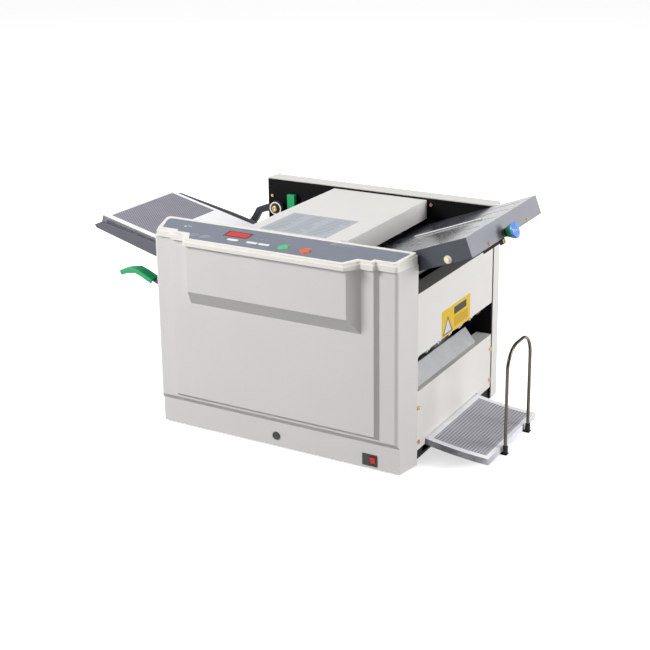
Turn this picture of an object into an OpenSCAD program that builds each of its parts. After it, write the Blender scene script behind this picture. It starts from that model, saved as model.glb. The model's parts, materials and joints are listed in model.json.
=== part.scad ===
// Desktop paper folding machine: two side frames carry a top-feed table, four fold
// rollers, two buckle fold plates and a delivery tray with a wire stop.
// Millimetres. +X points to the delivery side, -Y to the operator, +Z up.
// The origin is the centre of the four feet, on the table.

/* [Body] */
// Width of the moulded front cover at its skirt
body_w = 460; // [440:1:480]
// Height of the hood's top above the table
body_h = 364; // [360:1:366]
// Front of the skirt, measured from the middle of the machine
skirt_y = 200; // [196:1:206]
// Outer face of the rear cover
rear_y = 185; // [180:1:195]
// Clear distance between the two side frames
frame_gap = 301; // [299:1:303]
// Thickness of the moulded covers
wall = 3; // [2:0.5:4]

/* [Console] */
// Height of the console's front edge
console_front_z = 356.5; // [354:0.5:358]
// Tilt of the console towards the operator
console_tilt = 5.8; // [4:0.1:7]
// Width of the ivory rim around the console label
console_rim = 8; // [6:0.5:9]
// Radius of the start and stop buttons
button_r = 9; // [6:0.5:9]

/* [Feed table] */
// Slope of the feed table
feed_slope = 13.4; // [12:0.1:14.5]
// Width of the sheets in the feed stack
sheet_w = 210; // [200:1:212]
// Length of the sheets in the feed stack
sheet_l = 297; // [280:1:298]
// Height of the feed stack
feed_stack_h = 15; // [10:0.5:15]

/* [Fold rollers] */
// Distance between neighbouring roller centres, also the gears' pitch diameter
roller_pitch = 32; // [32:1:32]
// Gap between two roller faces
roller_nip = 0.8; // [0.6:0.1:2]
// Radius of the roller shafts
shaft_r = 6; // [5:0.5:6]
// Teeth on each roller gear
gear_teeth = 16; // [16:4:16]

/* [Upper fold plate] */
// Slope of the upper fold plate
plate_slope = 21; // [20:0.5:22]
// Length of the upper fold plate
plate_l = 286; // [280:1:287]
// Width of the upper fold plate
plate_w = 294; // [280:1:296]
// Depth of the upper fold plate's walls
plate_d = 33; // [30:1:33]

/* [Delivery] */
// Thickness of the folded stack
folded_h = 11; // [4:1:11]
// Height of the wire stop above the tray
stop_h = 180; // [150:1:190]
// Distance between the wire stop's legs
stop_w = 100; // [80:1:120]
// Thickness of the stop's wire
wire_d = 5.5; // [4:0.5:6]

/* [Hidden] */
$fn = 48;

frame_t = 3;
front_in = -frame_gap / 2 - 0.5;
front_out = front_in - frame_t;
rear_in = frame_gap / 2 - 0.5;
rear_out = rear_in + frame_t;
cover_back = front_out;
half_w = body_w / 2;
panel_x = half_w + 10;
rear_top = body_h + 5;
fit = 0.05;
slack = 0.4;

// Roller centres as [x, z]
roller_1 = [20, 276];
roller_2 = [roller_1[0], roller_1[1] - roller_pitch];
roller_3 = [roller_2[0] + roller_pitch, roller_2[1]];
roller_4 = [roller_3[0], roller_3[1] - roller_pitch];
pickup_at = [-148.6, 283.1];
feed_at = [-104, 277.9];
delivery_at = [188, 46];
star_at = [206, 174];
motor_at = [-100, 84];
roller_r = (roller_pitch - roller_nip) / 2;
bush_r = 10;
pulley_r = 12;
belt_gap = 0.3;
belt_t = 2;
gear_y = front_out - 12;
feed_pulley_y = front_out - 26;
rear_pulley_y = rear_out + 4;

// Feed table: the stack's top plane passes through this point
feed_top = [-409, 330.2];
feed_back = -12;
tray_t = 2;
tray_pivot = [-196, 317];
guide_gap = 1;
guide_h = 9.5;

// Upper fold plate: its outer top corner
plate_top = [316, 398.5];
knob_y = -22;
screw_z = -26;
screw_r = 4;
stop_at = -150;

lever_pivot = [-196, 180];
lever_y = -110;
hood_x = [-80, 110];
hood_pin_at = [-74, 351];
tab_at = [-172, 312];

tray_end = 349;
stop_x = 357.5;
stop_y = -16;

// ---------------------------------------------------------------- helpers

// Outline in the XZ plane drawn with z upwards, made solid from y0 to y1
module along_y(y0, y1) {
  translate([0, y1, 0]) rotate([90, 0, 0]) linear_extrude(y1 - y0) children();
}

// Outline in the YZ plane, made solid from x0 to x1
module along_x(x0, x1) {
  translate([x0, 0, 0]) rotate([90, 0, 90]) linear_extrude(x1 - x0) children();
}

module rod_y(at, r, y0, y1) {
  along_y(y0, y1) translate(at) circle(r);
}

module box(a, b) {
  translate(a) cube(b - a);
}

// Corner points [x, y, radius] turned into a polygon with rounded corners
function unit(v) = v / norm(v);
function corner_arc(p, q, s, r, n = 5) =
  let (u = unit([p[0] - q[0], p[1] - q[1]]), v = unit([s[0] - q[0], s[1] - q[1]]))
  let (half = acos(max(-1, min(1, u * v))) / 2, reach = r / tan(half))
  let (centre = [q[0], q[1]] + unit(u + v) * r / sin(half))
  let (a = [q[0], q[1]] + u * reach - centre, b = [q[0], q[1]] + v * reach - centre)
  let (start = atan2(a[1], a[0]), turn = atan2(a[0] * b[1] - a[1] * b[0], a * b))
  [for (i = [0:n]) centre + r * [cos(start + turn * i / n), sin(start + turn * i / n)]];
function rounded(pts) = let (n = len(pts)) [for (i = [0:n - 1])
  each (pts[i][2] > 0
    ? corner_arc(pts[(i + n - 1) % n], pts[i], pts[(i + 1) % n], pts[i][2])
    : [[pts[i][0], pts[i][1]]])];

// Loop of radius r around two equal pulleys at a and b
function belt_outline(a, b, r, n = 16) =
  let (turn = atan2(b[1] - a[1], b[0] - a[0]))
  concat([for (i = [0:n]) let (t = turn + 90 + 180 * i / n) a + r * [cos(t), sin(t)]],
    [for (i = [0:n]) let (t = turn - 90 + 180 * i / n) b + r * [cos(t), sin(t)]]);

module belt(a, b, y0, w) {
  r = pulley_r + belt_gap;
  along_y(y0, y0 + w) difference() {
    polygon(belt_outline(a, b, r + belt_t));
    polygon(belt_outline(a, b, r));
  }
}

// Pulley with two flanges and a belt track between them
module pulley(at, y0, w) {
  rod_y(at, pulley_r, y0, y0 + w);
  rod_y(at, pulley_r + 3, y0, y0 + 1.5);
  rod_y(at, pulley_r + 3, y0 + w - 1.5, y0 + w);
}

// Spur gear whose pitch diameter is the roller pitch; shift turns it by half a tooth
module gear(at, shift) {
  m = roller_pitch / gear_teeth;
  pr = roller_pitch / 2;
  step = 360 / gear_teeth;
  tooth = [[pr - 1.25 * m, 0.31], [pr - 0.5 * m, 0.27], [pr, 0.225], [pr + 0.9 * m, 0.12]];
  flank = concat([for (p = tooth) [p[0], -p[1]]], [for (i = [len(tooth) - 1:-1:0]) tooth[i]]);
  along_y(gear_y, gear_y + 8) translate(at) polygon([for (k = [0:gear_teeth - 1], p = flank)
    let (a = (k + p[1] + shift / 2) * step) p[0] * [cos(a), sin(a)]]);
}

module screw_head_x(at, r = 3.6, h = 2.2) {
  translate(at) rotate([0, 90, 0]) difference() {
    cylinder(r = r, h = h, $fn = 24);
    translate([0, 0, h - 0.9]) box([-r, -0.5, 0], [r, 0.5, 1]);
    translate([0, 0, h - 0.9]) box([-0.5, -r, 0], [0.5, r, 1]);
  }
}

// ---------------------------------------------------------------- front cover and console

skirt_top = 48;
column_y = skirt_y + 8;
panel_y = skirt_y + 14;
bulge_y = skirt_y + 34;
cover_top = 346.5;
cover_bottom = 4;

// Everything inside the moulded cover's skin, t millimetres in from its faces
module cover_block(t, top) {
  back = cover_back + (t > 0 ? 1 : 0);
  low = cover_bottom + t;
  intersection() {
    along_x(-300, 300) polygon([[back, low], [-skirt_y + t, low], [-skirt_y + t, skirt_top + t],
      [-column_y + t, skirt_top + 10 + t], [-column_y + t, top], [back, top]]);
    linear_extrude(500) polygon(rounded([[-half_w + t, -column_y + t, 7 - t],
      [half_w - t, -column_y + t, 7 - t], [panel_x - t, back, 0], [-panel_x + t, back, 0]]));
  }
  intersection() {
    along_x(-300, 300) polygon([[-skirt_y, 61 + t], [-column_y + t, 61 + t],
      [-panel_y + t, 67 + t], [-panel_y + t, top], [-skirt_y, top]]);
    linear_extrude(500) polygon([[-194 + t, -skirt_y], [-194 + t, -column_y], [-192 + t, -panel_y + t],
      [192 - t, -panel_y + t], [199 - t, -column_y], [199 - t, -skirt_y]]);
  }
  intersection() {
    along_x(-300, 300) polygon([[-skirt_y, 238 + t], [-panel_y, 238 + t], [-bulge_y + t, 265 + t],
      [-bulge_y + t, top], [-skirt_y, top]]);
    linear_extrude(500) polygon([[-155 + t, -skirt_y], [-155 + t, -panel_y],
      [-147 + t, -bulge_y + t], [154 - t, -bulge_y + t], [170 - t, -panel_y], [170 - t, -skirt_y]]);
  }
}

switch_box = [[164, 8.5], [191, 29]];
fuse_at = [0, 23];

module front_cover() {
  color([0.84, 0.82, 0.8]) difference() {
    cover_block(0, cover_top);
    cover_block(wall, cover_top + 1);
    box([switch_box[0][0] + 1.5, -skirt_y - 1, switch_box[0][1] + 1.5],
      [switch_box[1][0] - 1.5, -skirt_y + wall + 1, switch_box[1][1] - 1.5]);
    rod_y(fuse_at, 5, -skirt_y - 1, -skirt_y + wall + 1);
  }
}

// Height of the console label's surface at depth y
function deck_z(y) = console_front_z + (y + bulge_y + 6) * tan(console_tilt);

// Everything between two levels parallel to the console label
module deck_slab(low, high) {
  y0 = -300;
  y1 = -100;
  along_x(-300, 300) polygon([[y0, deck_z(y0) + low], [y1, deck_z(y1) + low],
    [y1, deck_z(y1) + high], [y0, deck_z(y0) + high]]);
}

// Console outline, d millimetres in from the rim
module console_outline(d) {
  polygon(rounded([[-223 + d, -212 + d, 5], [-190 + d, -212 + d, 1.5], [-188.5 + d, -219 + d, 1.5],
    [-162 + d, -219 + d, 2], [-148 + d, -241 + d, 4], [155 - d, -241 + d, 4],
    [171 - d, -219 + d, 2], [194 - d, -219 + d, 1.5], [196 - d, -212 + d, 1.5],
    [231 - d, -212 + d, 5], [240 - d, cover_back - d, 3], [-240 + d, cover_back - d, 7]]));
}

module console_prism(d, low, high) {
  intersection() {
    translate([0, 0, 300]) linear_extrude(120) console_outline(d);
    deck_slab(low, high);
  }
}

// Places its children on the console label, z along its normal
module on_deck(x, y) {
  translate([x, y, deck_z(y)]) rotate([console_tilt, 0, 0]) children();
}

start_at = [28, -211.5];
stop_button_at = [69, -212];
key_y = -211.5;
key_x = [-68, -31, -8];
key_size = [20, 5];
display_at = [-72, -189];
display_size = [42, 18];

module deck_holes(grow) {
  on_deck(start_at[0], start_at[1]) translate([0, 0, -8]) cylinder(r = button_r + grow, h = 16);
  on_deck(stop_button_at[0], stop_button_at[1]) translate([0, 0, -8])
    cylinder(r = button_r + grow, h = 16);
  for (x = key_x) on_deck(x, key_y) translate([0, 0, -8])
    linear_extrude(16) square(key_size + 2 * [grow, grow], center = true);
  on_deck(display_at[0], display_at[1]) translate([0, 0, -8])
    linear_extrude(16) square(display_size + [0.2, 0.2], center = true);
}

module console_trim() {
  color([0.94, 0.93, 0.9]) difference() {
    union() {
      intersection() {
        translate([0, 0, cover_top]) linear_extrude(40) console_outline(0);
        deck_slab(-60, -3.6);
      }
      console_prism(2, -4, 0.8);
    }
    console_prism(console_rim, -1, 5);
    intersection() {
      translate([0, 0, cover_top - 1]) linear_extrude(60) console_outline(14);
      deck_slab(-60, -4);
    }
    deck_holes(slack);
  }
}

module console_label() {
  color([0.5, 0.53, 0.58]) difference() {
    console_prism(console_rim + 0.1, -1, 0);
    deck_holes(slack);
  }
}

module display_window() {
  color([0.55, 0.05, 0.06]) on_deck(display_at[0], display_at[1]) translate([0, 0, -4])
    linear_extrude(4.3) square(display_size, center = true);
}

module round_button(at) {
  on_deck(at[0], at[1]) {
    translate([0, 0, -6]) cylinder(r = button_r, h = 7);
    translate([0, 0, 1]) cylinder(r1 = button_r, r2 = button_r - 1, h = 1);
    translate([0, 0, -6]) cylinder(r = button_r + 1.5, h = 1.2);
  }
}

module start_button() {
  color([0.35, 0.75, 0.5]) round_button(start_at);
}

module stop_button() {
  color([0.9, 0.35, 0.2]) round_button(stop_button_at);
}

module key(x) {
  color([0.95, 0.95, 0.93]) on_deck(x, key_y) {
    translate([0, 0, -6]) linear_extrude(7) square(key_size, center = true);
    translate([0, 0, -6]) linear_extrude(1.2) square(key_size + [3, 2], center = true);
  }
}

module key_1() { key(key_x[0]); }
module key_2() { key(key_x[1]); }
module key_3() { key(key_x[2]); }

module control_board() {
  color([0.1, 0.4, 0.2]) difference() {
    union() {
      box([-130, -228, 334], [130, -170, 335.6]);
      box([-95, -205, 335.6], [-55, -180, 340]);
      for (x = [-30, 0, 30, 90]) box([x, -195, 335.6], [x + 16, -183, 338.5]);
    }
    for (x = [-124, 124], y = [-222, -176]) translate([x, y, 330]) cylinder(r = 1.6, h = 10);
  }
}

// ---------------------------------------------------------------- skirt fittings

rocker_x = [178.5, 188.5];
rocker_pin = [3, 18.75];

module switch_bezel() {
  color([0.08, 0.08, 0.08]) difference() {
    union() {
      box([switch_box[0][0], -skirt_y - 1.5, switch_box[0][1]],
        [switch_box[1][0], -skirt_y, switch_box[1][1]]);
      box([switch_box[0][0] + 1.7, -skirt_y - 0.5, switch_box[0][1] + 1.7],
        [switch_box[1][0] - 1.7, -skirt_y + 22, switch_box[1][1] - 1.7]);
    }
    box([rocker_x[0] - 0.4, -skirt_y - 2, 11.5], [rocker_x[1] + 0.4, -skirt_y + 14, 26]);
  }
}

module switch_rocker() {
  color([0.75, 0.1, 0.08]) {
    along_x(rocker_x[0], rocker_x[1]) polygon([[-skirt_y - 1.2, 12.8], [-skirt_y - 3.2, 24.6],
      [-skirt_y + 7, 24.2], [-skirt_y + 7, 13.4]]);
    along_x(rocker_x[0] - 0.3, rocker_x[1] + 0.3) translate([rocker_pin[0] - skirt_y, rocker_pin[1]])
      circle(1.5);
  }
}

module fuse_holder() {
  color([0.08, 0.08, 0.08]) difference() {
    union() {
      rod_y(fuse_at, 7, -skirt_y - 2, -skirt_y);
      rod_y(fuse_at, 4.9, -skirt_y, -skirt_y + 26);
    }
    box([-4, -skirt_y - 3, 22.4], [4, -skirt_y - 1.2, 23.6]);
  }
}

// ---------------------------------------------------------------- rear cover

inlet_at = [-150, 60];

module rear_outline(t) {
  polygon(rounded([[-half_w + 3 + t, rear_out - (t > 0 ? 1 : 0), 0],
    [panel_x - t, rear_out - (t > 0 ? 1 : 0), 0],
    [panel_x - t, rear_y - t, 8 - t], [-half_w + 3 + t, rear_y - t, 8 - t]]));
}

module rear_cover() {
  color([0.84, 0.83, 0.81]) difference() {
    translate([0, 0, 6]) linear_extrude(rear_top - 6) rear_outline(0);
    translate([0, 0, 6 + wall]) linear_extrude(rear_top - 6 - 2 * wall) rear_outline(wall);
    for (i = [0:9], x = [-60, 120]) box([x - 30, rear_y - wall - 1, 90 + 9 * i],
      [x + 30, rear_y + 1, 94 + 9 * i]);
    box([inlet_at[0] - 14, rear_y - wall - 1, inlet_at[1] - 10],
      [inlet_at[0] + 14, rear_y + 1, inlet_at[1] + 10]);
  }
}

module power_inlet() {
  color([0.06, 0.06, 0.06]) difference() {
    union() {
      box([inlet_at[0] - 24, rear_y, inlet_at[1] - 12], [inlet_at[0] + 24, rear_y + 2.5, inlet_at[1] + 12]);
      box([inlet_at[0] - 13.8, rear_y - 24, inlet_at[1] - 9.8],
        [inlet_at[0] + 13.8, rear_y, inlet_at[1] + 9.8]);
    }
    box([inlet_at[0] - 12, rear_y - 14, inlet_at[1] - 8], [inlet_at[0] + 12, rear_y + 3, inlet_at[1] + 8]);
  }
  color([0.8, 0.8, 0.78]) for (x = [-7, 0, 7])
    box([inlet_at[0] + x - 1, rear_y - 14, inlet_at[1] - 2],
      [inlet_at[0] + x + 1, rear_y - 3, inlet_at[1] + 2]);
}

// ---------------------------------------------------------------- frames and base

roller_bushes = [roller_1, roller_2, roller_3, roller_4, pickup_at, feed_at, delivery_at, star_at];
pad_bar = [feed_at[0], 243.5];
cross_bars = [[-205, 60], [-205, 215], [90, 345], [222, 112], [215, 317.4], pad_bar];
bar_r = 6;
pin_r = 3;

module frame_plate(y0, top) {
  difference() {
    box([-226, y0, 6], [panel_x - 1.5, y0 + frame_t, top]);
    for (p = roller_bushes) rod_y(p, bush_r, y0 - 1, y0 + frame_t + 1);
  }
}

module front_frame() {
  color([0.07, 0.07, 0.07]) frame_plate(front_out, body_h - 4);
}

module rear_frame() {
  color([0.07, 0.07, 0.07]) difference() {
    frame_plate(rear_in, rear_top - 2);
    rod_y(motor_at, 12, rear_in - 1, rear_out + 1);
    rod_y(tab_at, 3 + fit, rear_in - 1, rear_out + 1);
    box([-165, rear_in - 1, 45], [-135, rear_out + 1, 75]);
  }
}

foot_x = [-195, 195];
foot_y = [-125, 125];
foot_hole_r = 2.75;

module base_pan() {
  color([0.07, 0.07, 0.07]) difference() {
    union() {
      box([-224, front_in, 10], [236, rear_in, 12]);
      box([-224, front_in, 12], [-222, rear_in, 28]);
      box([234, front_in, 12], [236, rear_in, 36]);
    }
    box([230, -126, 15], [240, 92, 40]);
    for (x = foot_x, y = foot_y) translate([x, y, 9]) cylinder(r = foot_hole_r, h = 4);
  }
}

// Cross bars, the hood's hinge pin and the stub pins that carry the feed table
module cross_rods() {
  color([0.6, 0.6, 0.62]) {
    for (p = cross_bars) rod_y(p, bar_r, front_in, rear_in);
    rod_y(hood_pin_at, pin_r, front_in, rear_in);
    rod_y(tray_pivot, bar_r, 122, rear_in);
    rod_y(tray_pivot, bar_r, front_in, -127);
    rod_y(lever_pivot, bar_r, front_in, lever_y + 16);
    rod_y(lever_pivot, bar_r + 4, lever_y + 12, lever_y + 16);
  }
}

module feet() {
  color([0.05, 0.05, 0.05]) for (x = foot_x, y = foot_y) translate([x, y, 0]) difference() {
    union() {
      cylinder(r1 = 13, r2 = 15, h = 6);
      translate([0, 0, 6]) cylinder(r = 15, h = 4);
    }
    translate([0, 0, -1]) cylinder(r = foot_hole_r, h = 12);
  }
}

module bush(at, y0, side) {
  along_y(y0, y0 + frame_t) translate(at) difference() {
    circle(bush_r);
    circle(shaft_r + fit);
  }
  along_y(y0 + (side > 0 ? frame_t : -2), y0 + (side > 0 ? frame_t + 2 : 0)) translate(at)
    difference() {
      circle(bush_r + 2);
      circle(shaft_r + fit);
    }
}

module bushes() {
  color([0.75, 0.6, 0.35]) for (p = roller_bushes) {
    bush(p, front_out, 1);
    bush(p, rear_in, -1);
  }
}

module left_cover() {
  color([0.84, 0.83, 0.81]) difference() {
    box([-229, front_out, 30], [-227, rear_out, 238]);
    box([-230, lever_y - 14, 160], [-226, lever_y + 14, 208]);
  }
}

slot_z = [132, 192];
upper_panel_top = 297;
panel_back = rear_in - 2.5;
panel_screw_at = [[front_out + 2.5, 104], [front_out + 3.5, 44], [panel_back - 4, 105],
  [panel_back - 4.5, 46]];

module upper_side_panel() {
  color([0.87, 0.86, 0.84]) {
    box([panel_x - 1.5, front_out, slot_z[1]], [panel_x, panel_back, upper_panel_top]);
    box([panel_x - 30, front_in, upper_panel_top - 1.5], [panel_x - 1.5, panel_back, upper_panel_top]);
  }
}

module lower_side_panel() {
  color([0.87, 0.86, 0.84]) difference() {
    union() {
      box([panel_x - 1.5, front_out, 30], [panel_x, panel_back, slot_z[0]]);
      box([panel_x - 28, front_in, slot_z[0] - 1.5], [panel_x - 1.5, panel_back, slot_z[0]]);
    }
    box([panel_x - 3, -124, 20], [panel_x + 1, 90, 41]);
    for (p = panel_screw_at) translate([panel_x - 3, p[0], p[1]]) rotate([0, 90, 0])
      cylinder(r = 1.7, h = 5, $fn = 24);
  }
}

module safety_label() {
  color([0.92, 0.8, 0.15]) box([panel_x, -64, 193], [panel_x + 0.3, 50, 239]);
}

module panel_screws() {
  color([0.8, 0.62, 0.35]) {
    for (p = panel_screw_at) {
      screw_head_x([panel_x, p[0], p[1]]);
      translate([panel_x - 1.5, p[0], p[1]]) rotate([0, 90, 0]) cylinder(r = 1.5, h = 1.5, $fn = 24);
    }
    for (p = [[-216.5, 335], [118, 356]]) rod_y(p, 3, rear_in - 2, rear_in);
  }
}

// ---------------------------------------------------------------- paper path

// Sheet of thickness t that follows a path of XZ points
function band(path, t) = let (n = len(path), side = [for (i = [0:n - 1])
    let (a = path[max(i - 1, 0)], b = path[min(i + 1, n - 1)], d = unit(b - a))
    [-d[1], d[0]] * t / 2])
  concat([for (i = [0:n - 1]) path[i] + side[i]], [for (i = [n - 1:-1:0]) path[i] - side[i]]);

// Feed guide, inner delivery chute and the deflector behind the side slot
module paper_guides() {
  color([0.75, 0.75, 0.74]) {
    box([-92, front_in, 257.4], [6, rear_in, 258.9]);
    along_y(front_in, rear_in) polygon(band([[74, 224], [118, 208], [150, 160], [168, 100], [172, 66]], 1.6));
    along_y(front_in, 90) polygon(band([[214, 160], [234, 134.5]], 1.6));
  }
}

module retard_pad() {
  color([0.45, 0.25, 0.18]) {
    box([feed_at[0] - 7, -20, 251], [feed_at[0] + 7, 20, 259.4]);
    difference() {
      box([feed_at[0] - 9, -24, 236], [feed_at[0] + 9, 24, 251]);
      rod_y(pad_bar, bar_r + fit, -25, 25);
    }
  }
}

lower_mouth = [24, 221];
lower_slope = 25;
lower_l = 212;

module lower_fold_plate() {
  color([0.55, 0.57, 0.62]) translate([lower_mouth[0], 0, lower_mouth[1]])
    rotate([0, -lower_slope, 0]) difference() {
      box([-lower_l, front_in + 5, -12], [0, rear_in - 5, 0]);
      box([-lower_l + 2, front_in + 7, -10.5], [1, rear_in - 7, -1.5]);
      for (y = [-100:50:100]) box([-lower_l + 30, y - 2, -1.6], [-30, y + 2, 1]);
    }
}

// ---------------------------------------------------------------- drive

module motor() {
  color([0.25, 0.26, 0.28]) {
    rod_y(motor_at, 35, 52, rear_in);
    rod_y(motor_at, 10, 44, 52);
    rod_y(motor_at, 11.9, rear_in, rear_out + 1);
    box([motor_at[0] - 30, 60, 12], [motor_at[0] + 30, 66, 60]);
    box([motor_at[0] - 30, 130, 12], [motor_at[0] + 30, 136, 60]);
  }
}

module motor_pulley() {
  color([0.7, 0.7, 0.72]) {
    pulley(motor_at, rear_pulley_y, 11);
    rod_y(motor_at, 4, rear_out + 1.2, rear_pulley_y + 13);
  }
}

module drive_belts() {
  color([0.05, 0.05, 0.05]) {
    belt(motor_at, roller_2, rear_pulley_y + 2, 7);
    belt(roller_4, delivery_at, rear_pulley_y + 2, 7);
    belt(feed_at, roller_1, feed_pulley_y + 2, 7);
    belt(pickup_at, feed_at, feed_pulley_y - 10, 7);
  }
}

module fold_roller(at, shift, front_end, rear_end) {
  rod_y(at, shaft_r, front_end, rear_end);
  rod_y(at, roller_r, -142, 141);
  gear(at, shift);
}

module fold_roller_1() {
  color([0.15, 0.15, 0.16]) {
    fold_roller(roller_1, 1, feed_pulley_y - 3, rear_out + 4);
    pulley(roller_1, feed_pulley_y, 11);
  }
}

module fold_roller_2() {
  color([0.15, 0.15, 0.16]) {
    fold_roller(roller_2, 0, gear_y - 2, rear_pulley_y + 14);
    pulley(roller_2, rear_pulley_y, 11);
  }
}

module fold_roller_3() {
  color([0.15, 0.15, 0.16]) fold_roller(roller_3, 1, gear_y - 2, rear_out + 4);
}

module fold_roller_4() {
  color([0.15, 0.15, 0.16]) {
    fold_roller(roller_4, 0, gear_y - 2, rear_pulley_y + 14);
    pulley(roller_4, rear_pulley_y, 11);
  }
}

module pickup_roller() {
  color([0.2, 0.2, 0.2]) {
    rod_y(pickup_at, shaft_r, feed_pulley_y - 15, rear_out + 3);
    for (y = [-60, -12, 36]) rod_y(pickup_at, 14, y, y + 24);
    pulley(pickup_at, feed_pulley_y - 12, 11);
  }
}

module feed_roller() {
  color([0.2, 0.2, 0.2]) {
    rod_y(feed_at, shaft_r, feed_pulley_y - 15, rear_out + 3);
    rod_y(feed_at, 18, -30, 30);
    pulley(feed_at, feed_pulley_y, 11);
    pulley(feed_at, feed_pulley_y - 12, 11);
  }
}

module delivery_roller() {
  color([0.2, 0.2, 0.2]) {
    rod_y(delivery_at, shaft_r, front_out - 3, rear_pulley_y + 14);
    for (y = [-110:55:90]) rod_y(delivery_at, 11.5, y, y + 20);
    pulley(delivery_at, rear_pulley_y, 11);
  }
}

module star_wheels() {
  color([0.92, 0.92, 0.9]) {
    rod_y(star_at, shaft_r, front_out - 3, rear_out + 3);
    for (y = [-110:44:110]) along_y(y, y + 5) translate(star_at) difference() {
      circle(12);
      for (a = [0:36:359]) rotate(a) translate([12.5, 0]) circle(2.2, $fn = 16);
    }
  }
}

// ---------------------------------------------------------------- hood

module hood() {
  color([0.88, 0.87, 0.85]) difference() {
    union() {
      box([hood_x[0], front_in + 1, body_h - 1.6], [hood_x[1], rear_in - 1, body_h + 0.4]);
      box([hood_x[1] - 2, front_in + 1, 330], [hood_x[1], rear_in - 1, body_h]);
      box([hood_x[0], front_in + 1, 342], [hood_x[0] + 1.6, rear_in - 1, body_h]);
      for (y = [-140, 0, 130]) hull() {
        rod_y(hood_pin_at, pin_r + 2, y, y + 8);
        box([hood_pin_at[0] - 4, y, body_h - 3], [hood_pin_at[0] + 6, y + 8, body_h - 1]);
      }
    }
    rod_y(hood_pin_at, pin_r + fit, front_out, rear_out);
  }
}

module hood_label() {
  color([0.74, 0.76, 0.8]) box([-57, -148, body_h + 0.4], [70, -35, body_h + 0.7]);
}

// ---------------------------------------------------------------- feed table

// Places its children on the feed stack's top plane, x down the slope
module on_table() {
  translate([feed_top[0], 0, feed_top[1]]) rotate([0, feed_slope, 0]) children();
}

stack_y = [-110, -110 + sheet_w];
tray_side = [[-413, 325], [-429, 318], [-425, 312.5], [-287, 274.5], [-230, 260.5], [-232, 287], [-287, 300]];
arm_path = [[-196, 317], [-216, 316], [-234, 309], [-243, 293], [-250, 284]];

module feed_stack() {
  color([0.94, 0.94, 0.95]) on_table()
    box([feed_back, stack_y[0], -feed_stack_h], [feed_back + sheet_l, stack_y[1], 0]);
}

module feed_tray() {
  color([0.22, 0.23, 0.26]) {
    on_table() {
      top = -feed_stack_h - 0.2;
      difference() {
        box([-2, -122, top - tray_t], [284, 117, top]);
        for (x = [60, 200], y = [-60, 60]) box([x, y - 30, top - 3], [x + 8, y + 30, top + 1]);
      }
    }
    along_y(-125, -120) polygon(tray_side);
    along_y(116, 119) polygon(tray_side);
  }
}

module tray_arms() {
  color([0.16, 0.17, 0.2]) for (y = [[126, 134, 119, 126], [-139, -131, -131, -125]]) {
    difference() {
      union() {
        along_y(y[0], y[1]) polygon(band(arm_path, 13));
        rod_y(tray_pivot, 13, y[0], y[1]);
        rod_y([-249, 284], 6, y[2], y[3]);
      }
      rod_y(tray_pivot, bar_r + fit, y[0] - 1, y[1] + 1);
    }
  }
}

module side_guide(y) {
  color([0.2, 0.21, 0.24]) on_table()
    box([2, y, -feed_stack_h + 0.1], [250, y + 3.5, guide_h - feed_stack_h]);
}

module front_guide() { side_guide(stack_y[0] - guide_gap - 3.5); }
module rear_guide() { side_guide(stack_y[1] + guide_gap); }

lever_path = [lever_pivot, [-291, 217], [-314, 227]];
grip_path = [[-309, 225], [-328, 234], [-345, 240], [-364, 237], [-379, 232]];

module feed_lever() {
  color([0.62, 0.63, 0.65]) difference() {
    union() {
      along_y(lever_y - 9, lever_y + 9) polygon(band(lever_path, 4));
      rod_y(lever_pivot, 11, lever_y - 9, lever_y + 9);
    }
    rod_y(lever_pivot, bar_r + fit, lever_y - 12, lever_y + 12);
  }
}

module lever_grip() {
  color([0.25, 0.7, 0.45]) difference() {
    along_y(lever_y - 11, lever_y + 11) polygon(band(grip_path, 9));
    along_y(lever_y - 9.05, lever_y + 9.05) polygon(band(lever_path, 4.1));
  }
}

module release_tab() {
  color([0.25, 0.75, 0.45]) {
    rod_y(tab_at, 6, rear_in - 11, rear_in - 3);
    rod_y(tab_at, 3, rear_in - 3, rear_out + 3);
    box([tab_at[0] - 6, rear_in - 11, tab_at[1]], [tab_at[0] + 10, rear_in - 3, tab_at[1] + 31]);
  }
}

// ---------------------------------------------------------------- upper fold plate

// Places its children on the plate's outer top edge, x outwards up the slope
module on_plate() {
  translate([plate_top[0], 0, plate_top[1]]) rotate([0, -plate_slope, 0]) children();
}

plate_y = [-148, -148 + plate_w];
wall_screw = [-41, -26];

module upper_fold_plate() {
  color([0.42, 0.44, 0.5]) on_plate() difference() {
    box([-plate_l, plate_y[0], -plate_d], [0, plate_y[1], 0]);
    box([-plate_l - 1, plate_y[0] + 2, -plate_d + 1.5], [-2, plate_y[1] - 2, -1.5]);
    for (y = [-60, 0, 60, 110]) box([-75, y - 1.5, -3], [-15, y + 1.5, 1]);
    translate([-5, knob_y, screw_z]) rotate([0, 90, 0]) cylinder(r = screw_r + fit, h = 10);
  }
}

module plate_bracket() {
  color([0.06, 0.06, 0.06]) on_plate() {
    box([-40, -105, -plate_d - 2], [0, -20, -plate_d]);
    box([-2, -105, -plate_d - 5], [0, -20, -plate_d - 2]);
    box([-2, -40, -plate_d - 9], [0, -20, -plate_d - 5]);
  }
}

module plate_screws() {
  color([0.8, 0.62, 0.35]) on_plate() {
    for (p = [[-80, -28.5], [84, -28.5], [-30, -37]]) screw_head_x([0, p[0], p[1]], 3.2, 2);
    rod_y(wall_screw, 6.5, plate_y[0] - 1.2, plate_y[0]);
    rod_y(wall_screw, 3.2, plate_y[0] - 3, plate_y[0] - 1.2);
  }
}

module fold_stop() {
  color([0.7, 0.7, 0.72]) on_plate() difference() {
    box([stop_at - 6, plate_y[0] + 8, -plate_d + 2], [stop_at + 6, plate_y[1] - 8, -12]);
    translate([stop_at - 10, knob_y, screw_z]) rotate([0, 90, 0]) cylinder(r = screw_r + fit, h = 20);
  }
}

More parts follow.
